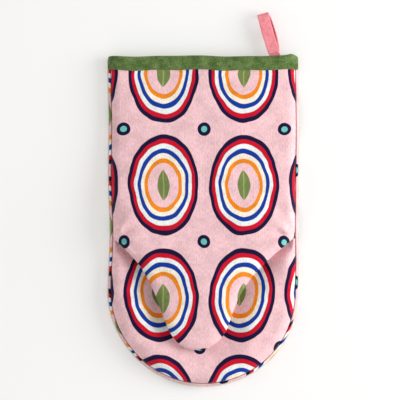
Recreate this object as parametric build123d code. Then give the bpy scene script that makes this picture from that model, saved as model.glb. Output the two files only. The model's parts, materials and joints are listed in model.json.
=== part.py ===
from build123d import *
import math
import os

# Oven mitt whose thumb pocket lies folded on the finger pocket.
# +Y points to the cuff, +X to the wearer's loop side, the back of the hand lies on z = 0.
# Everything is laid out from the cuff end (y = 0) and moved to the origin at the end.

# Overall sizes
mitt_length = 330.0
mitt_width = 190.0
hand_space = 8.0  # height of the flat hollow for the hand
thumb_space = 7.0  # height of the hollow for the thumb

# Layers of one panel, from outside to inside
shell_thick = 0.7
wadding_thick = 3.0
lining_thick = 0.5

# Side seams
hand_seam_rise = 1.0  # the back panel wraps up the side, this far past its own thickness
thumb_seam_rise = 0.8
seam_thread = 0.6

# Fold across the palm, where the thumb pocket turns
fold_from_cuff = 182.0
root_length = 15.0  # soft cloth behind the fold that crumples as the thumb lifts
ramp_length = 45.0  # the palm rises over this length to reach the thumb
body_gap = 0.4  # air between the two pockets and at the fold

# Thumb pocket, seen from above
thumb_length = 113.0
thumb_shoulder_width = 134.0
thumb_shoulder_drop = 23.0
thumb_neck_width = 101.0
thumb_neck_drop = 38.0
thumb_middle_width = 80.0
thumb_middle_drop = 60.0
thumb_tip_width = 50.0
thumb_tip_radius = 20.0
thumb_lean = 6.0  # the tip sits this far towards -X

# Binding round the cuff
binding_depth = 14.0
binding_cap = 1.0
stitch_inset = 1.3  # from the binding's inner edge to its stitching
stitch_width = 0.6
stitch_depth = 0.3

# Hanging loop of flat tape
tape_width = 11.5
tape_thick = 1.2
loop_from_side = 25.0  # from the mitt's side to the middle of the loop
loop_reach = 40.0  # from its fold line to its far end, along the tape
loop_height = 11.0
loop_lean = 16.0  # degrees towards -X
loop_droop = 6.5  # degrees down to the table
loop_standoff = 4.0  # fold line of the tape beyond the cuff end
tail_length = 16.0  # sewn ends inside the cuff, from the fold line
bartack_length = 2.0
bartack_height = 0.4
bartack_margin = 0.75

# Derived places
panel_thick = shell_thick + wadding_thick + lining_thick
hand_seam_height = panel_thick + hand_seam_rise
thumb_seam_height = panel_thick + thumb_seam_rise
hand_height = hand_space + 2 * panel_thick
thumb_floor = hand_height + body_gap
thumb_top = thumb_floor + thumb_space + 2 * panel_thick
fold_y = -fold_from_cuff
root_end_y = fold_y + root_length
ramp_end_y = root_end_y + ramp_length
tip_y = -mitt_length
layers = {
    "shell": (0.0, shell_thick),
    "wadding": (shell_thick, shell_thick + wadding_thick),
    "lining": (shell_thick + wadding_thick, panel_thick),
}
far = 2 * (mitt_length + mitt_width)  # longer than any piece


def slab(y0, y1, z0, z1):
    """A block across the whole mitt, between two lengths and two heights."""
    return Pos(0, (y0 + y1) / 2, (z0 + z1) / 2) * Box(far, y1 - y0, z1 - z0)


def hand_outline(inset):
    """Plan of the mitt: straight sides and a half round finger end, open past the cuff."""
    half = mitt_width / 2 - inset
    centre_y = tip_y + mitt_width / 2
    length = far - centre_y
    straight = Pos(0, centre_y + length / 2) * Rectangle(2 * half, length)
    return straight + Pos(0, centre_y) * Circle(half)


def side_profile(inset):
    """Side view (y, z) of the hand and finger part, with the ramp up to the thumb."""
    low = inset
    top = hand_height - inset
    slope = math.atan2(thumb_top - hand_height, ramp_length)
    shift = inset * math.tan(slope / 2)
    points = [
        (tip_y, low),
        (far, low),
        (far, top),
        (ramp_end_y - shift, top),
        (root_end_y - shift, thumb_top - inset),
        (fold_y, thumb_top - inset),
        (fold_y, top),
        (tip_y, top),
    ]
    return Plane.YZ * make_face(Polyline(*points, close=True))


def hand_block(inset):
    """The solid that the hand part would fill, shrunk by an inset."""
    plan = extrude(hand_outline(inset), far)
    return plan & extrude(side_profile(inset), far, both=True)


def thumb_outline(inset):
    """Plan of the thumb pocket: wide at the fold, drawn in to a rounded tip."""
    stations = [
        (mitt_width / 2, -root_length),
        (mitt_width / 2, 0.0),
        (thumb_shoulder_width / 2, thumb_shoulder_drop),
        (thumb_neck_width / 2, thumb_neck_drop),
        (thumb_middle_width / 2, thumb_middle_drop),
        (thumb_tip_width / 2, thumb_length),
    ]
    right = [(half - lean_at(drop), fold_y - drop) for half, drop in stations]
    left = [(-half - lean_at(drop), fold_y - drop) for half, drop in stations]
    face = make_face(Polyline(*right, *reversed(left), close=True))
    tips = face.vertices().sort_by(Axis.Y)[:2]
    face = fillet(tips, thumb_tip_radius)
    if inset > 0:
        face = offset(face, -inset, kind=Kind.INTERSECTION)
    return face


def lean_at(drop):
    """How far the thumb's middle line has moved sideways at a distance from the fold."""
    return thumb_lean * max(drop, 0.0) / thumb_length


def thumb_block(inset):
    """The solid that the thumb pocket would fill, shrunk by an inset, open at the fold."""
    height = thumb_top - thumb_floor - 2 * inset
    block = Pos(0, 0, thumb_floor + inset) * extrude(thumb_outline(inset), height)
    return block & slab(fold_y - far, fold_y - body_gap, 0, far)


def hand_layer(name):
    """One closed layer of the hand part, before it is cut into panels."""
    outer, inner = layers[name]
    return hand_block(outer) - hand_block(inner)


def hand_panels(name):
    """The back, palm, thumb root and finger panels of one layer."""
    layer = hand_layer(name)
    last_y = -binding_cap if name == "wadding" else -binding_depth
    layer = layer & slab(-far, last_y, -far, far)
    above = layer & slab(-far, far, hand_seam_height, far)
    root = slab(fold_y, root_end_y, thumb_floor, far)
    cuff_side = above & slab(fold_y, far, 0, far)
    return {
        f"back_{name}": layer & slab(-far, far, -far, hand_seam_height),
        f"palm_{name}": cuff_side - root,
        f"thumb_root_{name}": cuff_side & root,
        f"finger_palm_{name}": above & slab(-far, fold_y, 0, hand_height),
    }


def thumb_panels(name):
    """The outer and inner sides of the thumb pocket in one layer."""
    outer, inner = layers[name]
    layer = thumb_block(outer) - thumb_block(inner)
    seam_z = thumb_floor + thumb_seam_height
    return {
        f"thumb_outer_{name}": layer & slab(-far, far, seam_z, far),
        f"thumb_inner_{name}": layer & slab(-far, far, 0, seam_z),
    }


def binding_ring():
    """Tape folded over the cuff edge: an outer leaf, an inner leaf and a cap."""
    zone = slab(-binding_depth, 0, -far, far)
    leaves = (hand_layer("shell") & zone) + (hand_layer("lining") & zone)
    cap = (hand_block(0) - hand_block(panel_thick)) & slab(-binding_cap, 0, -far, far)
    return leaves + cap


def binding_thread():
    """One line of stitching let into the face of the binding's outer leaf."""
    start = -binding_depth + stitch_inset
    ring = hand_block(0) - hand_block(stitch_depth)
    return ring & slab(start, start + stitch_width, -far, far)


def hand_thread():
    """Thread of the side seam, in the corner of the hand space."""
    ring = hand_outline(panel_thick) - hand_outline(panel_thick + seam_thread)
    low = hand_seam_height - seam_thread / 2
    return (Pos(0, 0, low) * extrude(ring, seam_thread)) & slab(-far, 0, 0, far)


def thumb_thread():
    """Thread of the thumb pocket's seam, inside the pocket."""
    ring = thumb_outline(panel_thick) - thumb_outline(panel_thick + seam_thread)
    low = thumb_floor + thumb_seam_height - seam_thread / 2
    thread = Pos(0, 0, low) * extrude(ring, seam_thread)
    return thread & slab(-far, fold_y - body_gap, 0, far)


def loop_place():
    """Frame at the loop's fold line: X across the tape, Y along it."""
    x = mitt_width / 2 - loop_from_side
    z = hand_height - panel_thick - tape_thick
    return Pos(x, loop_standoff, z) * Rot(0, 0, loop_lean)


def teardrop(root_y, root_radius, end_radius):
    """Side view of the loop: a small round at the root and a larger one at the end."""
    centre_y = loop_reach - loop_height / 2
    rounds = [Circle(root_radius).edge().moved(Pos(root_y, 0))]
    rounds.append(Circle(end_radius).edge().moved(Pos(centre_y, 0)))
    return make_hull(rounds)


def hanging_loop():
    """Flat tape turned back on itself, with an eye between its two strands."""
    outer = teardrop(0, tape_thick, loop_height / 2)
    inner = teardrop(3 * tape_thick, tape_thick / 6, loop_height / 2 - tape_thick)
    tape = extrude(Plane.YZ * (outer - inner), tape_width / 2, both=True)
    return loop_place() * Rot(-loop_droop, 0, 0) * tape


def loop_tails():
    """The two ends of the tape, laid together inside the cuff and sewn down."""
    end = -(tape_thick + body_gap)
    length = tail_length + end
    tails = Pos(0, end - length / 2, 0) * Box(tape_width, length, 2 * tape_thick)
    return loop_place() * tails


def loop_bartack():
    """Dense stitches across the tails, on the side that faces the hand."""
    y = -tail_length + bartack_margin + bartack_length / 2
    z = -tape_thick - bartack_height / 2
    width = tape_width - 2 * bartack_margin
    return loop_place() * Pos(0, y, z) * Box(width, bartack_length, bartack_height)


def build():
    """Every piece by name, laid out from the cuff end."""
    pieces = {}
    for name in layers:
        pieces.update(hand_panels(name))
        pieces.update(thumb_panels(name))
    thread = binding_thread()
    pieces["binding_stitching"] = thread
    pieces["cuff_binding"] = binding_ring() - thread
    pieces["side_seam_thread"] = hand_thread()
    pieces["thumb_seam_thread"] = thumb_thread()
    pieces["hanging_loop"] = hanging_loop()
    pieces["loop_tails"] = loop_tails()
    pieces["loop_bartack"] = loop_bartack()
    return pieces


pieces = build()
box = Compound(children=[Part() + piece for piece in pieces.values()]).bounding_box()
to_origin = Pos(-box.center().X, -box.center().Y, -box.min.Z)
os.makedirs("parts", exist_ok=True)
for name, piece in pieces.items():
    export_step(Part() + to_origin * piece, f"parts/{name}.step")

shift = to_origin.position
loop_origin = (to_origin * loop_place()).position
print("moved by", shift)
print("thumb fold at y, z", fold_y + shift.Y, thumb_floor - body_gap / 2 + shift.Z)
print("loop fold at", loop_origin)
print("box", box.size)
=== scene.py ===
import json
import math
import bmesh
import bpy
import numpy as np
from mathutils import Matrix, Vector


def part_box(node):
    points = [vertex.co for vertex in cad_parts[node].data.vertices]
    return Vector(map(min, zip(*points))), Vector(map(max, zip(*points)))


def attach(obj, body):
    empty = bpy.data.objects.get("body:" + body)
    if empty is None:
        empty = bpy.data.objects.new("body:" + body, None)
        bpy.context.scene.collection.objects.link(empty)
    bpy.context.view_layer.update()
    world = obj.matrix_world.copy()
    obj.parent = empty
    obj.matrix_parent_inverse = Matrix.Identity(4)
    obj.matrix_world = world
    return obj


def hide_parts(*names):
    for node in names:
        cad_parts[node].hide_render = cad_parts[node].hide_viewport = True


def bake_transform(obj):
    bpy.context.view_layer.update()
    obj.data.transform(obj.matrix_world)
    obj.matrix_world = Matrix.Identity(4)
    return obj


# Oven mitt, palm up, with its thumb pocket folded down on the finger pocket.
# Shapes are worked out in millimetres from the frame's own boxes and turned to metres when a mesh is made.

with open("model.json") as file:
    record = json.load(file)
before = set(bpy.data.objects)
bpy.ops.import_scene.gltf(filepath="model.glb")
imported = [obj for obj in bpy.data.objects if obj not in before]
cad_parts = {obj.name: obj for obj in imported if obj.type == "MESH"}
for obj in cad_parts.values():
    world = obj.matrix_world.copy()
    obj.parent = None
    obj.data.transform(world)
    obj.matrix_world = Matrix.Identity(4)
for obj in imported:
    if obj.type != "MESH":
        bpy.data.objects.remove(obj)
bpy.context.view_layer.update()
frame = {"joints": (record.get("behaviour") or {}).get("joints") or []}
joints = {joint["name"]: joint for joint in frame["joints"]}
print("frame loaded")


def boxMm(node):
    low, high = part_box(node)
    return np.array(low) * 1000, np.array(high) * 1000


cuffLow, cuffHigh = boxMm("cuff_binding")
half = cuffHigh[0]  # half the mitt's width
cuffY = cuffHigh[1]
tipY = boxMm("finger_palm_shell")[0][1]
arcY = tipY + half  # centre of the round finger end
foldY = joints["thumb_fold"]["pos_m"][1] * 1000
foldZ = joints["thumb_fold"]["pos_m"][2] * 1000
thumbTipY = boxMm("thumb_outer_shell")[0][1] + 2  # drawn in by the pull of its seam

fullTurn = 6.283
clothScale = 100  # mm of flat cloth to one unit of the UV map
layers = {"shell": (0.0, 0.7), "wadding": (0.8, 3.5), "lining": (3.6, 4.1)}  # depth below the outer face, mm


def smooth(x, low, high):
    t = np.clip((np.asarray(x, float) - low) / (high - low), 0, 1)
    return t * t * (3 - 2 * t)


def quarter(x):
    # 0 to 1 along a quarter of a circle: steep at a seam, level further in
    t = np.clip(np.asarray(x, float), 0, 1)
    return np.sqrt(np.maximum(1 - (1 - t) ** 2, 0))


def ripple(x, y, size, seed):
    # slow even wandering made of a few waves, about one unit high
    total = 0
    for k in range(4):
        a = seed * 1.7 + k * 2.4
        turn = math.cos(a) * x + math.sin(a) * y
        total = total + np.sin(turn * fullTurn / (size * (1 + 0.23 * k)) + seed * 3.1 + k * 1.9)
    return total / 2.4


def softWarp(points):
    # the slight unevenness of cut and sewn cloth, the same for every layer so that they stay nested
    x, y, z = points[..., 0], points[..., 1], points[..., 2]
    waist = 1 - 0.011 * np.exp(-((y + 30) / 34) ** 2)
    newX = x * waist + 0.55 * ripple(0 * x, y, 95, 1.3) * np.abs(x) / half
    newY = y + 0.7 * ripple(x, 0 * y, 88, 2.1) * smooth(y, 90, cuffY)
    newZ = z * (1 + 0.045 * ripple(x, y, 74, 4.2) * smooth(z, 4, 14))
    return np.stack([newX, newY, newZ], -1)


def segmentDistance(x, y, line):
    # distance from points to an open line of segments in plan
    a, b = line[:-1], line[1:]
    best = np.full(x.shape, 1e9)
    for (ax, ay), (bx, by) in zip(a, b):
        dx, dy = bx - ax, by - ay
        t = np.clip(((x - ax) * dx + (y - ay) * dy) / (dx * dx + dy * dy + 1e-12), 0, 1)
        best = np.minimum(best, np.hypot(x - ax - t * dx, y - ay - t * dy))
    return best


def gridMesh(name, points, cloth=None, closed=False, up=None, thick=0, level=0):
    # a sheet through a grid of points, with the flat cloth's own millimetres in a UV map
    rows, cols = points.shape[:2]
    mesh = bpy.data.meshes.new(name)
    index = np.arange(rows * cols).reshape(rows, cols)
    across = cols if closed else cols - 1
    faces = []
    for i in range(rows - 1):
        for j in range(across):
            k = (j + 1) % cols
            faces.append((index[i, j], index[i, k], index[i + 1, k], index[i + 1, j]))
    mesh.from_pydata((points.reshape(-1, 3) / 1000).tolist(), [], faces)
    if cloth is None:
        cloth = points[..., :2]
    flat = cloth.reshape(-1, 2) / clothScale
    layer = mesh.uv_layers.new(name="clothMap")
    corner = np.zeros(len(mesh.loops), np.int32)
    mesh.loops.foreach_get("vertex_index", corner)
    layer.uv.foreach_set("vector", flat[corner].astype(np.float32).ravel())
    piece = bpy.data.objects.new(name, mesh)
    bpy.context.collection.objects.link(piece)
    weld(mesh)
    if up is not None:
        normals = np.zeros(len(mesh.polygons) * 3, np.float32)
        mesh.polygons.foreach_get("normal", normals)
        if (normals.reshape(-1, 3)[:, 2].sum() > 0) != up:
            mesh.flip_normals()
    if thick:
        solid = piece.modifiers.new("thickness", "SOLIDIFY")
        solid.thickness = thick / 1000
        solid.offset = -1
    if level:
        piece.modifiers.new("smooth", "SUBSURF").levels = level
    applyAll(piece)
    piece.data.shade_smooth()
    return piece


def weld(mesh):
    made = bmesh.new()
    made.from_mesh(mesh)
    bmesh.ops.remove_doubles(made, verts=made.verts, dist=2e-6)
    bmesh.ops.dissolve_degenerate(made, edges=made.edges, dist=1e-7)
    made.to_mesh(mesh)
    made.free()


def applyAll(piece):
    if not piece.modifiers:
        return
    ready = piece.evaluated_get(bpy.context.evaluated_depsgraph_get())
    mesh = bpy.data.meshes.new_from_object(ready)
    piece.modifiers.clear()
    piece.data = mesh


def tube(name, path, radius, closed=False, sides=8):
    # a thread: a round tube along a line of points, closed at its ends
    path = np.asarray(path, float)
    ahead = np.roll(path, -1, 0) - np.roll(path, 1, 0)
    if not closed:
        ahead[0], ahead[-1] = path[1] - path[0], path[-1] - path[-2]
    ahead /= np.linalg.norm(ahead, axis=1, keepdims=True) + 1e-9
    side = np.cross(ahead, [0, 0, 1.0])
    side[np.linalg.norm(side, axis=1) < 1e-3] = [1, 0, 0]
    side /= np.linalg.norm(side, axis=1, keepdims=True)
    lift = np.cross(side, ahead)
    angles = np.arange(sides) * 2 * math.pi / sides
    rings = [side * math.cos(a) + lift * math.sin(a) for a in angles]
    grid = path[:, None, :] + radius * np.stack(rings, 1)
    if closed:
        grid = np.concatenate([grid, grid[:1]])
    else:
        grid = np.concatenate([path[:1, None] + 0 * grid[:1], grid, path[-1:, None] + 0 * grid[:1]])
    return gridMesh(name, grid, closed=True)


def joinPieces(name, parts):
    bpy.ops.object.select_all(action="DESELECT")
    for part in parts:
        part.select_set(True)
    bpy.context.view_layer.objects.active = parts[0]
    bpy.ops.object.join()
    parts[0].name = name
    return parts[0]


form = {
    "seamIn": 3.0,       # the side seam lies this far inside the silhouette
    "seamHigh": 8.6,     # and this high above the table
    "fingerHigh": 20.5,  # finger pocket
    "thumbSeam": 24.0,   # height of the thumb pocket's seam
    "valley": 9.2,       # the finger pocket sinks to this height along the thumb pocket's edge
    "tipRound": 22,      # length of the thumb pocket's round tip
    "cuffLift": 0.9,     # the back panel stands off the table at the cuff by this much
}

# thumb pocket seen from above: distance from the fold, left edge, right edge
thumbEdges = np.array([
    (0, -92.0, 90.5), (6, -84.6, 82.6), (14, -75.6, 72.2), (24, -66.0, 61.8), (36, -57.6, 49.8),
    (48, -51.2, 41.2), (60, -46.2, 34.4), (76, -40.4, 28.0), (92, -34.6, 22.6), (100, -31.6, 19.0),
])


def thumbWidths(drop):
    # half width and centre of the thumb pocket at a distance from the fold, with a round tip
    length = foldY - thumbTipY
    left = np.interp(drop, thumbEdges[:, 0], thumbEdges[:, 1])
    right = np.interp(drop, thumbEdges[:, 0], thumbEdges[:, 2])
    start = length - form["tipRound"]
    t = np.clip((drop - start) / (length - start), 0, 1)
    shrink = np.maximum(1 - t ** 2.35, 0) ** 0.5
    return (right - left) / 2 * shrink, (right + left) / 2


def palmEdges(y):
    # left and right edge of the palm and thumb sheet at each height of the mitt
    drop = np.maximum(foldY - y, 0)
    wide, middle = thumbWidths(drop)
    hand = half - form["seamIn"]
    corner = smooth(y, foldY, foldY + 9)
    onHand = y > foldY
    foldLeft, foldRight = thumbEdges[0, 1:]
    left = np.where(onHand, -hand * corner + foldLeft * (1 - corner), middle - wide)
    right = np.where(onHand, hand * corner + foldRight * (1 - corner), middle + wide)
    return left, right


def smoothRows(values, y, times=3):
    # takes the corners out of the edge lines, keeping the fold corner crisp
    out = values.copy()
    for _ in range(times):
        inner = (out[:-2] + 2 * out[1:-1] + out[2:]) / 4
        keep = np.abs(y[1:-1] - foldY) < 3
        out[1:-1] = np.where(keep, out[1:-1], inner)
    return out


def thumbRows(top):
    # rows from the cuff to the thumb's tip, closer together round the tip
    hand = np.linspace(top, foldY, int((top - foldY) / 2.2))
    length = foldY - thumbTipY
    tipRound = form["tipRound"]
    straight = np.linspace(0, length - tipRound, 44)[1:]
    t = np.linspace(0, 1, 20)[1:]
    rounded = length - tipRound + tipRound * np.sin(t * math.pi / 2)
    return np.concatenate([hand, foldY - straight, foldY - rounded])


outlineY = thumbRows(cuffY)
outlineLeft, outlineRight = [smoothRows(side, outlineY) for side in palmEdges(outlineY)]
palmOutline = np.concatenate([
    np.stack([outlineLeft, outlineY], 1), np.stack([outlineRight, outlineY], 1)[::-1]])
thumbOutline = palmOutline[palmOutline[:, 1] <= foldY + 0.01]


def fingerTop(x, y):
    # upper face of the finger pocket, from its distance to the silhouette
    edge = np.where(y > arcY, half - np.abs(x), half - np.hypot(x, y - arcY)) - form["seamIn"]
    rise = 0.7 * quarter(edge / 11) + 0.3 * quarter(edge / 34)
    top = form["seamHigh"] + (form["fingerHigh"] - form["seamHigh"]) * rise
    inward = smooth(edge, 8, 30)
    atFold = smooth(y, foldY - 7, foldY)
    top = top + (foldZ - top) * atFold * inward
    away = segmentDistance(x, y, thumbOutline) * (1 - insideThumb(x, y))
    slope = 11 + 15 * smooth(foldY - y, 12, 45)  # steep by the fold's corners, easier further down
    sink = (1 - smooth(away / slope, -0.1, 1)) * smooth(edge, 0, 6) * (1 - atFold * inward)
    floor = form["valley"] + 4.5 * smooth(foldY - y, 78, 112)
    return top + (floor - top) * sink


def insideThumb(x, y):
    wide, middle = thumbWidths(np.maximum(foldY - y, 0))
    return (np.abs(x - middle) < wide) & (y < foldY)


def edgeHeight(y):
    # height of the palm sheet's sewn edge: along the side seam, then up on to the finger pocket
    drop = foldY - y
    climb = smooth(drop, -3, 10)
    rise = form["thumbSeam"] - form["seamHigh"] - 5 * smooth(drop, 75, 112)
    return form["seamHigh"] - 0.3 + rise * climb


def crownHeight(y):
    # height of the palm and thumb along their middle line: place along the mitt, height
    stations = [(-160, 27.5), (-140, 30.0), (-115, 32.4), (-85, 33.6), (-50, 33.4), (-25, 31.2),
                (0, 27.0), (30, 23.0), (65, 20.2), (100, 18.4), (125, 17.4), (150, 17.0)]
    return np.interp(y, [s[0] for s in stations], [s[1] for s in stations])


def cornerCreases(x, y):
    # folds that fan out of both corners of the mouth, where the seams pull the cloth
    total = 0
    for side, seed in ((-1, 0.4), (1, 2.0)):
        dx, dy = x - side * (half - 6), y - foldY
        r = np.hypot(dx, dy)
        angle = np.arctan2(dy, -side * dx)
        fan = np.sin(angle * 6.5 + seed + 0.05 * r) * smooth(r, 2, 12) * np.exp(-(r / 24) ** 2)
        total = total + 2.8 * fan
    return total


def palmTop(x, y):
    # outer face of the palm and thumb sheet
    edge = segmentDistance(x, y, palmOutline)
    edge = np.minimum(edge, 60)
    low, high = edgeHeight(y), crownHeight(y)
    onThumb = smooth(foldY - y, -25, 15)
    near = 9 + onThumb
    rise = (0.66 - 0.1 * onThumb) * quarter(edge / near) + (0.34 + 0.1 * onThumb) * quarter(edge / 46)
    pucker = 0.32 * np.sin(y * 0.93 + 1.4 * np.sin(y * 0.21)) * np.exp(-edge / 5) * smooth(edge, 0, 1.5)
    slack = 0.55 * ripple(x, y, 57, 6.6) * smooth(edge, 4, 22)
    sink = 1.1 * np.exp(-((y - foldY - 8) / 9) ** 2) * smooth(np.abs(x), 40, 80)
    return low + (high - low) * rise + pucker + slack - sink + cornerCreases(x, y) * smooth(edge, 1, 6)


def drawIn(x, y, middle, wide, depth):
    # an inner layer is cut smaller, so it ends inside the seam all round
    inset = 1.6 * depth
    shrink = np.maximum(wide - inset, 0) / np.maximum(wide, 1e-6)
    nearTip = np.clip((y - thumbTipY) / 40, 0, 1)
    return middle[:, None] + (x - middle[:, None]) * shrink[:, None], y + inset * (1 - nearTip)


def sheetEdges(y):
    # rows of the palm and thumb sheet with their smoothed left and right edges
    left, right = palmEdges(y)
    left, right = smoothRows(left, y), smoothRows(right, y)
    return y, left, right


def spread(y, left, right):
    # a grid of points in plan between the edges, closer together near them
    s = np.linspace(-1, 1, 81)
    s = np.sin(s * math.pi / 2) * 0.75 + s * 0.25
    middle, wide = (left + right) / 2, (right - left) / 2
    x = middle[:, None] + s[None, :] * wide[:, None]
    return x, y[:, None] + 0 * x, middle, wide


def palmGrid(depth, top):
    x, yy, middle, wide = spread(*sheetEdges(thumbRows(top)))
    z = palmTop(x, yy)
    cloth = np.stack([x, yy], -1)
    x, yy = drawIn(x, yy, middle, wide, depth)
    z = np.maximum(z - depth, edgeHeight(yy) - 0.3 * depth)
    return softWarp(np.stack([x, yy, z], -1)), cloth


def thumbUnderGrid(depth):
    # inner side of the thumb pocket, which grips against the finger pocket
    y, left, right = sheetEdges(thumbRows(cuffY))
    on = y <= foldY + 0.01
    x, yy, middle, wide = spread(y[on], left[on], right[on])
    edge = segmentDistance(x, yy, thumbOutline)
    rest = fingerTop(x, yy) + 0.6 * smooth(foldY - yy, 0, 6)
    z = rest + (edgeHeight(yy) - rest) * (1 - quarter(edge / 9)) * smooth(foldY - yy, 0, 5)
    cloth = np.stack([x, yy], -1)
    x, yy = drawIn(x, yy, middle, wide, depth)
    z = np.minimum(z + depth, edgeHeight(yy) + 0.3 * depth)
    return softWarp(np.stack([x, yy, z], -1)), cloth


def handRing(inset, top):
    # the mitt's outline drawn in by an inset: down one side, round the finger end, up the other
    radius = half - inset
    side = np.linspace(top, arcY, max(int(abs(top - arcY) / 2.6), 4))
    angle = np.linspace(0, -math.pi, 110)
    right = np.stack([side * 0 + radius, side], 1)
    arc = np.stack([radius * np.cos(angle), arcY + radius * np.sin(angle)], 1)[1:-1]
    left = np.stack([side * 0 - radius, side], 1)[::-1]
    return np.concatenate([right, arc, left])


def insets(first, last):
    # distances from the silhouette, finer near the seam
    fine = first + np.cumsum(np.concatenate([[0], np.geomspace(0.5, 3.2, 16)]))
    wide = np.linspace(fine[-1], last, int((last - fine[-1]) / 2.8))[1:]
    return np.concatenate([fine, wide])


# side view of the back panel's edge, from the seam round to the table: inset, height
backEdge = np.array([
    (3.1, 7.4), (2.7, 8.7), (1.9, 9.1), (1.0, 8.6), (0.35, 7.4), (0.0, 5.8), (0.25, 4.2), (1.0, 2.7),
    (2.3, 1.45), (4.2, 0.65), (7, 0.2), (11, 0.03)])


def backGrid(depth, top):
    # the back panel: from the seam round its edge down to the table, then flat to the middle
    tangent = np.gradient(backEdge, axis=0)
    tangent /= np.linalg.norm(tangent, axis=1, keepdims=True)
    inward = np.stack([-tangent[:, 1], tangent[:, 0]], 1)
    edge = backEdge + depth * inward
    length = np.concatenate([[0], np.cumsum(np.linalg.norm(np.diff(backEdge, axis=0), axis=1))])
    flatFrom = 11  # inset where the edge has come down to the table
    wide = np.linspace(flatFrom, half, 34)[1:]
    profile = np.concatenate([edge, np.stack([np.maximum(wide, edge[-1][0]), 0 * wide + depth], 1)])
    reach = np.concatenate([length, length[-1] + wide - flatFrom])
    reach = half - (length[-1] + half - flatFrom) + reach
    rows, cloth = [], []
    for (inset, z), flat in zip(profile, reach):
        ring = handRing(min(inset, half), top)
        lift = form["cuffLift"] * smooth(ring[:, 1], cuffY - 34, cuffY - 12)
        rows.append(np.column_stack([ring, z + lift]))
        cloth.append(handRing(flat, top))
    return softWarp(np.stack(rows)), np.stack(cloth) * [-1, 1]  # seen from outside, so mirrored


def fingerGrid(depth):
    # the finger pocket's upper side, ring by ring from its seam to the middle
    rows, cloth = [], []
    for inset in insets(form["seamIn"], half):
        ring = handRing(min(inset + depth, half), foldY)
        outer = handRing(inset, foldY)
        z = fingerTop(outer[:, 0], outer[:, 1]) - depth
        rows.append(np.column_stack([ring, np.maximum(z, form["seamHigh"] - 0.6 * depth)]))
        cloth.append(outer[:, :2])
    return softWarp(np.stack(rows)), np.stack(cloth)


def hexToLinear(code):
    values = [int(code[i:i + 2], 16) / 255 for i in (1, 3, 5)]
    return [v / 12.92 if v <= 0.04045 else ((v + 0.055) / 1.055) ** 2.4 for v in values] + [1.0]


def addNode(t, kind, *links, **settings):
    # a second word in kind is the node's operation; links fill its inputs in order, None leaves one as it is
    kind, _, operation = kind.partition(" ")
    node = t.nodes.new("ShaderNode" + kind)
    if operation:
        node.operation = operation
    for name, value in settings.items():
        if name == "stops":
            elements = node.color_ramp.elements
            for place, code in value[1:-1]:
                elements.new(place)
            for element, (place, code) in zip(elements, value):
                element.position, element.color = place, hexToLinear(code)
        else:
            setattr(node, name, value)
    for socket, link in zip([s for s in node.inputs if s.enabled], links):
        if isinstance(link, bpy.types.Node):
            link = next(s for s in link.outputs if s.enabled)
        if isinstance(link, bpy.types.NodeSocket):
            t.links.new(link, socket)
        elif link is not None:
            socket.default_value = hexToLinear(link) if isinstance(link, str) else link
    return node


def newMaterial(name):
    material = bpy.data.materials.new(name)
    material.use_nodes = True
    material.node_tree.nodes.clear()
    return material, material.node_tree


def finishCloth(t, colour, height, cloth):
    # woven fibre: rough, no metal, a faint fuzz that catches grazing light
    bump = addNode(t, "Bump")
    bump.inputs["Strength"].default_value = cloth["bump"]
    bump.inputs["Distance"].default_value = cloth["relief"] / 1000
    t.links.new(height.outputs[0], bump.inputs["Height"])
    shader = addNode(t, "BsdfPrincipled")
    t.links.new(colour, shader.inputs["Base Color"])
    t.links.new(bump.outputs[0], shader.inputs["Normal"])
    shader.inputs["Roughness"].default_value = cloth["roughness"]
    shader.inputs["IOR"].default_value = 1.47  # cellulose fibre
    shader.inputs["Specular IOR Level"].default_value = 0.15
    shader.inputs["Sheen Weight"].default_value = cloth["sheen"]
    shader.inputs["Sheen Roughness"].default_value = 0.5
    addNode(t, "OutputMaterial", shader)


def weave(t, flat, spacing):
    # plain weave: warp and weft pass over and under each other, one thread each spacing, in mm
    thread = addNode(t, "SeparateXYZ", flat)
    turn = math.pi / spacing
    waves = []
    for place in thread.outputs[:2]:
        wave = addNode(t, "Math SINE", addNode(t, "Math MULTIPLY", place, turn))
        waves.append(addNode(t, "Math ABSOLUTE", wave))
    return addNode(t, "Math MULTIPLY", *waves)


printed = {
    "across": 80.0, "along": 112.0,    # mm, one repeat of the print
    "ovalAt": (40.0, 14.0),            # centre of one oval on the palm
    "oval": (35.0, 50.0),              # half width and half height of its outer ring
    "middle": 0.44,                    # share of the oval inside its first ring
    # rings of one width, from the middle out
    "rings": ("#F08A1C", "#F7EEDC", "#0E399C", "#EEF2EF", "#CE0F2B", "#150D38"),
    "leaf": (6.5, 15.0),               # half width and half height of the leaf in the middle
    "spot": 6.5, "spotMiddle": 3.0,    # radii of the round spots between four ovals
    "thread": 1.5,                     # real cloth has a thread each 0.4 mm: drawn coarser so that it shows
    "pink": "#F1C5C9", "navy": "#150D38", "green": "#75844A", "vein": "#97A467", "turquoise": "#6CC5BA",
    "roughness": 0.82, "sheen": 0.02, "bump": 0.32, "relief": 0.5,
}


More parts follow.
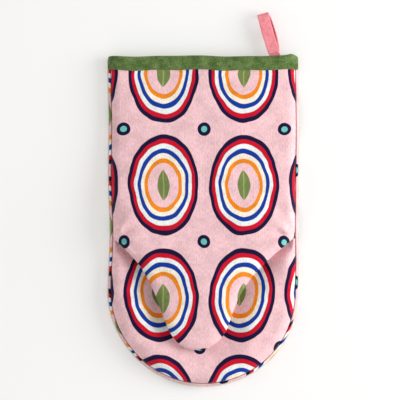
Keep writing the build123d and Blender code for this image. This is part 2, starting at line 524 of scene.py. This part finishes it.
def printedCotton():
    # quilting cotton, screen printed with plain ringed ovals, leaves and spots: matt, flat colours that
    # vary a little like washes of paint, over the fine grid of a plain weave
    material, t = newMaterial("printedPlainWeaveCotton")
    p = printed
    a, b = p["across"] / 2, p["along"] / 2
    uv = addNode(t, "UVMap", uv_map="clothMap")
    flat = addNode(t, "VectorMath MULTIPLY", uv, (clothScale, clothScale, clothScale))
    wander = addNode(t, "TexNoise", flat, 0.05, 1.2, 0.5, noise_dimensions="2D")
    shaky = addNode(t, "VectorMath SUBTRACT", wander.outputs["Color"], (0.5, 0.5, 0.5))
    shaky = addNode(t, "VectorMath MULTIPLY", shaky, (3.0, 3.0, 0))
    place = addNode(t, "VectorMath SUBTRACT", addNode(t, "VectorMath ADD", flat, shaky), (*p["ovalAt"], 0))
    at = addNode(t, "SeparateXYZ", place)

    # ring: 0 in the middle of each oval, 1 on the outer edge of its last ring
    cx = addNode(t, "Math WRAP", at.outputs[0], a, -a)
    cy = addNode(t, "Math WRAP", at.outputs[1], b, -b)
    wide, tall = p["oval"]
    shareX, shareY = addNode(t, "Math DIVIDE", cx, wide), addNode(t, "Math DIVIDE", cy, tall)
    square = addNode(t, "Math MULTIPLY_ADD", shareX, shareX, addNode(t, "Math MULTIPLY", shareY, shareY))
    ring = addNode(t, "Math SQRT", square)
    soft = 0.2 / wide  # ink edges spread 0.4 mm
    step = (1 - p["middle"]) / len(p["rings"])
    starts = [p["middle"] + k * step for k in range(len(p["rings"]))]
    stops = [(0.0, p["pink"]), (p["middle"] - soft, p["pink"])]
    for start, ink in zip(starts, p["rings"]):
        stops += [(start + soft, ink), (start + step - soft, ink)]
    colour = addNode(t, "ValToRGB", ring, stops=stops)
    outside = addNode(t, "MapRange", ring, 1 - soft, 1 + soft)
    colour = addNode(t, "Mix", outside, colour, p["pink"], data_type="RGBA")

    # a pointed leaf in each oval
    sideways = addNode(t, "Math DIVIDE", addNode(t, "Math ABSOLUTE", cx), p["leaf"][0])
    upright = addNode(t, "Math DIVIDE", cy, p["leaf"][1])
    leaf = addNode(t, "Math MULTIPLY_ADD", upright, upright, sideways)
    vein = addNode(t, "MapRange", sideways, 0.14, 0.08)
    green = addNode(t, "Mix", vein, p["green"], p["vein"], data_type="RGBA")
    colour = addNode(t, "Mix", addNode(t, "MapRange", leaf, 1.03, 0.97), colour, green, data_type="RGBA")

    # round spots between the ovals
    spotX = addNode(t, "Math WRAP", addNode(t, "Math ADD", at.outputs[0], a), a, -a)
    spotY = addNode(t, "Math WRAP", addNode(t, "Math ADD", at.outputs[1], b), b, -b)
    square = addNode(t, "Math MULTIPLY_ADD", spotX, spotX, addNode(t, "Math MULTIPLY", spotY, spotY))
    radius = addNode(t, "Math SQRT", square)
    for size, ink in ((p["spot"], p["navy"]), (p["spotMiddle"], p["turquoise"])):
        inSpot = addNode(t, "MapRange", radius, size + 0.2, size - 0.2)
        colour = addNode(t, "Mix", inSpot, colour, ink, data_type="RGBA")

    # fibre grain over slow washes: cotton slubs run along the warp, so the grain is drawn out that way
    wash = addNode(t, "TexNoise", flat, 0.06, 3.0, 0.6, noise_dimensions="2D")
    washed = addNode(t, "MapRange", wash, 0.35, 0.65, 0.9, 1.06)
    slub = addNode(t, "VectorMath MULTIPLY", flat, (1.0, 0.35, 1.0))
    grain = addNode(t, "TexNoise", slub, 0.9, 3.0, 0.6, noise_dimensions="2D")
    shade = addNode(t, "MapRange", grain, 0.3, 0.7, 0.84, 1.08)
    shaded = addNode(t, "VectorMath SCALE", next(s for s in colour.outputs if s.enabled))
    t.links.new(addNode(t, "Math MULTIPLY", washed, shade).outputs[0], shaded.inputs["Scale"])
    height = addNode(t, "Math MULTIPLY_ADD", grain, 1.2, weave(t, flat, p["thread"]))
    finishCloth(t, shaded.outputs[0], height, p)
    return material


def yarnCloth(name, cloth):
    # one dyed or undyed yarn, spun of slightly different shades, over the grid of a plain weave
    material, t = newMaterial(name)
    uv = addNode(t, "UVMap", uv_map="clothMap")
    flat = addNode(t, "VectorMath MULTIPLY", uv, (clothScale, clothScale, clothScale))
    broad = addNode(t, "TexNoise", flat, 0.11, 3.0, 0.6, noise_dimensions="2D")
    fine = addNode(t, "TexNoise", flat, cloth["speck"], 4.0, 0.7, noise_dimensions="2D")
    mixed = addNode(t, "Math MULTIPLY_ADD", fine, 0.6, addNode(t, "Math MULTIPLY", broad, 0.4))
    dark, middle, light = cloth["shades"]
    spread = cloth["spread"]
    ramp = addNode(t, "ValToRGB", mixed, stops=[(0.5 - spread, dark), (0.5, middle), (0.5 + spread, light)])
    height = addNode(t, "Math ADD", fine, weave(t, flat, cloth["thread"]))
    finishCloth(t, ramp.outputs[0], height, cloth)
    return material


# In each, thread is the spacing drawn, in mm, coarser than the real one where that is too fine to show.
# cotton cut across the weave and folded over: a matt, dry green, mottled as worn dye is
biasTape = {"shades": ("#3F5528", "#5F7C3E", "#8A9C62"), "thread": 0.9, "speck": 0.8, "spread": 0.15,
            "roughness": 0.85, "sheen": 0.1, "bump": 0.7, "relief": 0.8}
# undyed plain lining: a pale, even cream with hardly any grain
liningCloth = {"shades": ("#D8D0BE", "#E6E0D0", "#F1ECDF"), "thread": 0.7, "speck": 0.55, "spread": 0.12,
               "roughness": 0.85, "sheen": 0.1, "bump": 0.5, "relief": 0.6}
# carded cotton punched with needles: soft and fuzzy, with a faint grid where the needles went in
needledFelt = {"shades": ("#DDD9CC", "#ECE9E0", "#F6F4EE"), "thread": 1.3, "speck": 0.2, "spread": 0.12,
               "roughness": 0.95, "sheen": 0.3, "bump": 0.9, "relief": 0.8}
# narrow cotton tape, tightly woven: a clear pink with a fine grain
loopTape = {"shades": ("#E47680", "#F6929B", "#FCA8AF"), "thread": 0.6, "speck": 0.5, "spread": 0.2,
            "roughness": 0.8, "sheen": 0.1, "bump": 0.5, "relief": 0.5}
# sewing thread: a little smoother than the cloth, so that each stitch has a soft shine
spunYarn = {"shades": ("#CFC9BB", "#E5E0D4", "#F2EFE6"), "thread": 0.4, "speck": 0.55, "spread": 0.12,
            "roughness": 0.6, "sheen": 0.1, "bump": 0.5, "relief": 0.2}
greenYarn = {**spunYarn, "shades": ("#4A5F30", "#63804A", "#7F9563")}
pinkYarn = {**spunYarn, "shades": ("#CC7480", "#DE929B", "#EBAAB2")}

cottonPrint = printedCotton()
bindingCotton = yarnCloth("crossWovenBiasTape", biasTape)
liningCotton = yarnCloth("plainWovenLining", liningCloth)
battCotton = yarnCloth("needledCottonWadding", needledFelt)
loopCotton = yarnCloth("wovenCottonTape", loopTape)
spunThread = yarnCloth("spunPolyesterThread", spunYarn)
greenThread = yarnCloth("spunGreenThread", greenYarn)
pinkThread = yarnCloth("spunPinkThread", pinkYarn)
print("materials made")


def finishPiece(piece, material, nodes, body=None):
    # with no body, a piece is left unattached, its place baked into its mesh: so are the pieces that run from
    # the hand to the thumb across the fold
    piece.data.materials.clear()
    piece.data.materials.append(material)
    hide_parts(*nodes)
    if body:
        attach(piece, body)
    else:
        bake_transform(piece)
    return piece


look = {
    "shell": (cottonPrint, "printed_cotton"),
    "wadding": (battCotton, "wadding"),
    "lining": (liningCotton, "lining"),
}
backShift = np.array([23.0, 41.0])    # where the print falls on the back panel
fingerShift = np.array([4.0, -6.0])   # the finger side was cut separately, so its print is a little off


def sewPanel(name, nodes, layer, grid, up, shift=(0, 0), body=None):
    depth, deeper = layers[layer]
    material, slot = look[layer]
    level = 1 if layer == "shell" else 0
    points, cloth = grid
    fullName = name + "_" + layer + "_cloth"
    piece = gridMesh(fullName, points, cloth + shift, up=up, thick=deeper - depth, level=level)
    finishPiece(piece, material, [node + "_" + layer for node in nodes], body)


for layer in layers:
    depth = layers[layer][0]
    top = cuffY - (3 if layer == "wadding" else 4)
    sewPanel("back", ["back"], layer, backGrid(depth, top), False, backShift, "hand")
    palmNodes = ["palm", "thumb_root", "thumb_outer"]
    sewPanel("palm_and_thumb", palmNodes, layer, palmGrid(depth, top), True)
    sewPanel("finger", ["finger_palm"], layer, fingerGrid(depth), True, fingerShift, "hand")
    sewPanel("thumb_inner", ["thumb_inner"], layer, thumbUnderGrid(depth), False, fingerShift)
print("cloth layers made")


binding = {  # mm
    "depth": 12.0,   # from the cuff's end to the line that the tape is wrapped round
    "proud": 0.9,    # the outer leaf stands this far off the cloth
    "stitchAt": 12.4, "stitch": 2.6, "gap": 0.7, "threadRadius": 0.2,
}


def cuffLoop(y, count=220):
    # the closed line round the mitt at the cuff, seen along Y: over the palm and back under
    x = np.linspace(-half + form["seamIn"], half - form["seamIn"], 160)
    top = np.stack([x, palmTop(x, x * 0 + y)], 1)
    lift = form["cuffLift"]
    right = np.stack([half - backEdge[:, 0], backEdge[:, 1] + lift], 1)[1:]
    left = np.stack([-half + backEdge[:, 0], backEdge[:, 1] + lift], 1)[:0:-1]
    line = np.concatenate([top, right, left])
    closed = np.vstack([line, line[:1]])
    length = np.concatenate([[0], np.cumsum(np.linalg.norm(np.diff(closed, axis=0), axis=1))])
    at = np.linspace(0, length[-1], count, endpoint=False)
    loop = np.stack([np.interp(at, length, closed[:, k]) for k in (0, 1)], 1)
    for _ in range(5):
        loop = (np.roll(loop, 1, 0) + 2 * loop + np.roll(loop, -1, 0)) / 4
    return loop


def outward(loop):
    # unit normals of a closed line
    ahead = np.roll(loop, -1, 0) - np.roll(loop, 1, 0)
    ahead /= np.linalg.norm(ahead, axis=1, keepdims=True)
    return np.stack([-ahead[:, 1], ahead[:, 0]], 1)


def bindingRing():
    # bias tape folded over the raw edge: along the outer face, round the end, back along the inner face
    loop = cuffLoop(cuffY - binding["depth"])
    away = outward(loop)
    proud = binding["proud"]
    # section of the tape: distance from the cuff's end, distance out from the cloth
    section = [
        (-14.2, 0.1), (-14.3, 0.55), (-13.9, proud), (-12.6, proud + 0.25), (-9, proud + 0.45),
        (-5, proud + 0.4), (-2, proud + 0.2), (-0.7, proud - 0.3), (0.0, -0.9), (0.0, -2.4), (-0.7, -3.9),
        (-2, -4.8), (-6, -5.1), (-11, -5.0), (-13.4, -4.7), (-13.8, -4.2), (-13.2, -3.9), (-9, -3.8),
        (-3.4, -3.5), (-2.2, -2.9), (-1.8, -1.9), (-2.2, -0.8), (-3.6, -0.2), (-9, 0.0), (-13, 0.0),
    ]
    rows, cloth = [], []
    reach = 0
    along = np.arange(len(loop)) / len(loop)
    run = np.concatenate([[0], np.cumsum(np.linalg.norm(np.diff(loop, axis=0), axis=1))])
    for place, (y, off) in enumerate(section + section[:1]):
        k = place % len(section)
        if place:
            before = section[place - 1]
            reach += math.hypot(y - before[0], off - before[1])
        ease = 0.16 * np.sin(along * fullTurn * 23 + k * 0.4) * np.sin(along * fullTurn * 7) * (1 < k < 9)
        flat = loop + away * (off * (1 + ease))[:, None]
        wavy = 0.45 * np.sin(along * fullTurn * 9 + 1) * (1 if k < 4 else 0.5)
        rows.append(np.stack([flat[:, 0], cuffY + y + wavy, np.maximum(flat[:, 1], 0.02)], 1))
        cloth.append(np.stack([run, run * 0 + reach], 1))
    points = np.stack(rows)
    corner = np.exp(-((points[..., 0] - half + 6) / 5) ** 2) * smooth(points[..., 2], 6, 12)
    points[..., 1] += 1.6 * corner * smooth(points[..., 1], cuffY - 5, cuffY)
    return softWarp(points), np.stack(cloth)


points, cloth = bindingRing()
piece = gridMesh("cuff_binding_tape", points, cloth, closed=True, level=1)
finishPiece(piece, bindingCotton, ["cuff_binding"], "hand")


def stitchRow(name, path, length, gap, radius, sink):
    # lockstitches: short threads that dive into the cloth at both ends
    path = np.asarray(path, float)
    run = np.concatenate([[0], np.cumsum(np.linalg.norm(np.diff(path, axis=0), axis=1))])
    parts = []
    for k in range(int(run[-1] / (length + gap))):
        at = k * (length + gap) + np.linspace(0, length, 6)
        line = np.stack([np.interp(at, run, path[:, c]) for c in range(3)], 1)
        line[:, 2] -= sink * np.abs(np.linspace(-1, 1, 6)) ** 2.5
        parts.append(tube(name + str(k), line, radius, sides=6))
    return joinPieces(name, parts)


def bindingStitches():
    loop = cuffLoop(cuffY - binding["depth"])
    away = outward(loop)
    path = loop + away * (binding["proud"] + 0.28)
    y = np.full(len(path), cuffY - binding["stitchAt"])
    top = path[:, 1] > 9
    line = softWarp(np.stack([path[:, 0], y, path[:, 1]], 1)[top])
    line = line[np.argsort(line[:, 0])]
    stitch, gap, radius = binding["stitch"], binding["gap"], binding["threadRadius"]
    return stitchRow("binding_lockstitches", line, stitch, gap, radius, 0.35)


finishPiece(bindingStitches(), greenThread, ["binding_stitching"], "hand")

seamThread = {  # mm
    "radius": 0.35, "inside": 5.2, "below": 1.5, "fromCuff": 15, "thumbInside": 5, "thumbAbove": 1.4,
}

ring = handRing(form["seamIn"] + seamThread["inside"], cuffY - seamThread["fromCuff"])
line = softWarp(np.column_stack([ring, ring[:, 0] * 0 + form["seamHigh"] - seamThread["below"]]))
thread = tube("side_seam_overlock", line, seamThread["radius"], sides=6)
finishPiece(thread, spunThread, ["side_seam_thread"], "hand")

drawn = seamThread["thumbInside"]
inside = thumbOutline.copy()
wide, centre = thumbWidths(foldY - inside[:, 1])
inside[:, 0] = centre + (inside[:, 0] - centre) * np.maximum(wide - drawn, 0) / np.maximum(wide, 1e-6)
inside[:, 1] = np.maximum(inside[:, 1], thumbTipY + drawn)
inside = inside[inside[:, 1] < foldY - 2]
line = softWarp(np.column_stack([inside, edgeHeight(inside[:, 1]) + seamThread["thumbAbove"]]))
thread = tube("thumb_seam_overlock", line, seamThread["radius"], sides=6)
finishPiece(thread, spunThread, ["thumb_seam_thread"])


tape = {
    "width": 11.5, "thick": 1.1,
    "lean": 16.0, "droop": 5.0,      # degrees to the side, and down to the table
    "reach": 40.0, "high": 4.9,      # length of the loop, and half its height at the far end
    "start": 0.62,                   # half the distance between the strands where they are sewn
    "bow": 3.4, "twist": 0.8,        # the lower strand's, in mm and radians
    "upperBow": 0.7, "tailThick": 2.2,
}


def tapeGrid(side, thick, width, skew):
    # a flat tape with rounded edges that follows a line of points in its side view (along, up)
    side = np.asarray(side, float)
    ahead = np.gradient(side, axis=0)
    ahead /= np.linalg.norm(ahead, axis=1, keepdims=True)
    across = np.stack([-ahead[:, 1], ahead[:, 0]], 1)
    angles = np.linspace(0, 2 * math.pi, 28, endpoint=False)
    sx = np.sign(np.cos(angles)) * np.abs(np.cos(angles)) ** 0.35
    sy = np.sign(np.sin(angles)) * np.abs(np.sin(angles)) ** 0.6
    run = np.concatenate([[0], np.cumsum(np.linalg.norm(np.diff(side, axis=0), axis=1))])
    rows, cloth = [], []
    for k, point in enumerate(side):
        slide, tilt = skew(run[k] / run[-1])
        x = sx * width / 2
        rim = 0.16 * np.exp(-((np.abs(x) - width / 2 + 0.9) / 0.5) ** 2)
        off = sy * (thick / 2 + rim)
        x, off = slide + x * math.cos(tilt) - off * math.sin(tilt), x * math.sin(tilt) + off * math.cos(tilt)
        rows.append(np.stack([x, point[0] + across[k, 0] * off, point[1] + across[k, 1] * off], 1))
        cloth.append(np.stack([x, x * 0 + run[k]], 1))
    points, flat = np.stack(rows), np.stack(cloth)
    first, last = [row.mean(1, keepdims=True) + 0 * row for row in (points[:1], points[-1:])]
    return np.concatenate([first, points, last]), np.concatenate([flat[:1], flat, flat[-1:]])


def placeLoop(points):
    hinge = joints["loop_swing"]["pos_m"]
    lean, droop = math.radians(tape["lean"]), math.radians(tape["droop"])
    x, y, z = points[..., 0], points[..., 1], points[..., 2]
    y, z = y * math.cos(droop) + z * math.sin(droop), z * math.cos(droop) - y * math.sin(droop)
    x, y = x * math.cos(lean) - y * math.sin(lean), x * math.sin(lean) + y * math.cos(lean)
    return np.stack([x, y, z], -1) + np.array(hinge) * 1000


def hangingLoop():
    # side view: out along the lower strand, round the nose, back along the upper strand
    reach, high, start = tape["reach"], tape["high"], tape["start"]
    out = np.linspace(-1.2, reach - high, 26)
    lower = np.stack([out, -start - (high - start) * smooth(out, 0, 33)], 1)
    turn = np.linspace(-math.pi / 2, math.pi / 2, 17)[1:-1]
    nose = np.stack([reach - high + high * 0.98 * np.cos(turn), high * np.sin(turn)], 1)
    upper = np.stack([out, start + (high - start) * smooth(out, 0, 30)], 1)[::-1]
    side = np.concatenate([lower, nose, upper])

    def skew(t):
        # the lower strand bows to one side and stands a little on its edge, the upper one bows to the other
        wave = math.sin(2 * math.pi * t)
        return (tape["bow"] * wave, tape["twist"] * wave) if t < 0.5 else (tape["upperBow"] * wave, 0.0)

    points, cloth = tapeGrid(side, tape["thick"], tape["width"], skew)
    return placeLoop(points), cloth


points, cloth = hangingLoop()
piece = gridMesh("hanging_loop_tape", points, cloth, closed=True, level=1)
finishPiece(piece, loopCotton, ["hanging_loop"], "loop")

line = np.stack([np.linspace(-15.5, -1.4, 12), np.zeros(12)], 1)
points, cloth = tapeGrid(line, tape["tailThick"], tape["width"], lambda t: (0.4 * math.sin(5 * t), 0))
points[..., 2] += points[..., 1] * math.tan(math.radians(tape["droop"]))
piece = gridMesh("loop_tail_tape", placeLoop(points), cloth, closed=True, level=1)
finishPiece(piece, loopCotton, ["loop_tails"], "hand")

# bartack: one thread that zigzags across the tails, ten times over and back
zig = np.linspace(0, 1, 61)
sway = np.sin(zig * 63)
line = np.stack([-4.8 + 9.6 * zig, -13.8 + 0.9 * np.sign(sway) * np.abs(sway) ** 0.5, -1.4 + 0 * zig], 1)
line[:, 2] += line[:, 1] * math.tan(math.radians(tape["droop"]))
bartack = tube("loop_bartack_thread", placeLoop(line), 0.22, sides=6)
finishPiece(bartack, pinkThread, ["loop_bartack"], "hand")
print("trims made")


studio = {
    "keyAt": (1.35, 0.12, 0.72), "keySize": 1.0, "keyPower": 21.0,
    "fillAt": (-0.9, -0.6, 1.9), "fillSize": 1.6, "fillPower": 2.0,
    # table: strength of the table's own glow, painted light that lifts the shadows on it
    "sky": 0.68, "table": 0.37,
    "eye": (-0.0037, -0.0007, 1.9), "level": 0.008, "seen": 0.4,  # at that level, this much fills the picture
}

# matt opal acrylic sheet, white and without gloss, that glows evenly by its own emission with no lamp below
# it: painted light that pales the shadows cast on it
floorMaterial, tree = newMaterial("selfGlowingTable")
board = addNode(tree, "BsdfPrincipled")
board.inputs["Base Color"].default_value = hexToLinear("#C4C4C4")
board.inputs["Emission Color"].default_value = hexToLinear("#FFFDF8")
# the table's glow, painted light that pales the shadows falling on it
board.inputs["Emission Strength"].default_value = studio["table"]
board.inputs["Roughness"].default_value = 0.8
addNode(tree, "OutputMaterial", board)
bpy.ops.mesh.primitive_plane_add(size=8, location=(0, 0, -0.0004))
floor = bpy.context.object
floor.name = "table"
floor.data.materials.append(floorMaterial)


def areaLight(name, place, size, power):
    light = bpy.data.lights.new(name, "AREA")
    light.size = size
    light.energy = power
    lamp = bpy.data.objects.new(name, light)
    bpy.context.collection.objects.link(lamp)
    lamp.location = place
    direction = -np.array(place) / np.linalg.norm(place)
    lamp.rotation_euler = Vector(direction).to_track_quat("-Z", "Y").to_euler()


areaLight("keySoftbox", studio["keyAt"], studio["keySize"], studio["keyPower"])
areaLight("fillSoftbox", studio["fillAt"], studio["fillSize"], studio["fillPower"])
world = bpy.data.worlds.new("studio")
bpy.context.scene.world = world
world.use_nodes = True
sky = world.node_tree.nodes["Background"]
sky.inputs["Color"].default_value = (1, 1, 1, 1)
sky.inputs["Strength"].default_value = studio["sky"]
bpy.context.scene.view_settings.view_transform = "Standard"

camera = bpy.data.cameras.new("camera")
eye = bpy.data.objects.new("camera", camera)
bpy.context.collection.objects.link(eye)
eye.location = studio["eye"]
camera.sensor_width = 36
camera.lens = camera.sensor_width * (studio["eye"][2] - studio["level"]) / studio["seen"]
camera.clip_end = 20
bpy.context.scene.camera = eye
print("studio set")
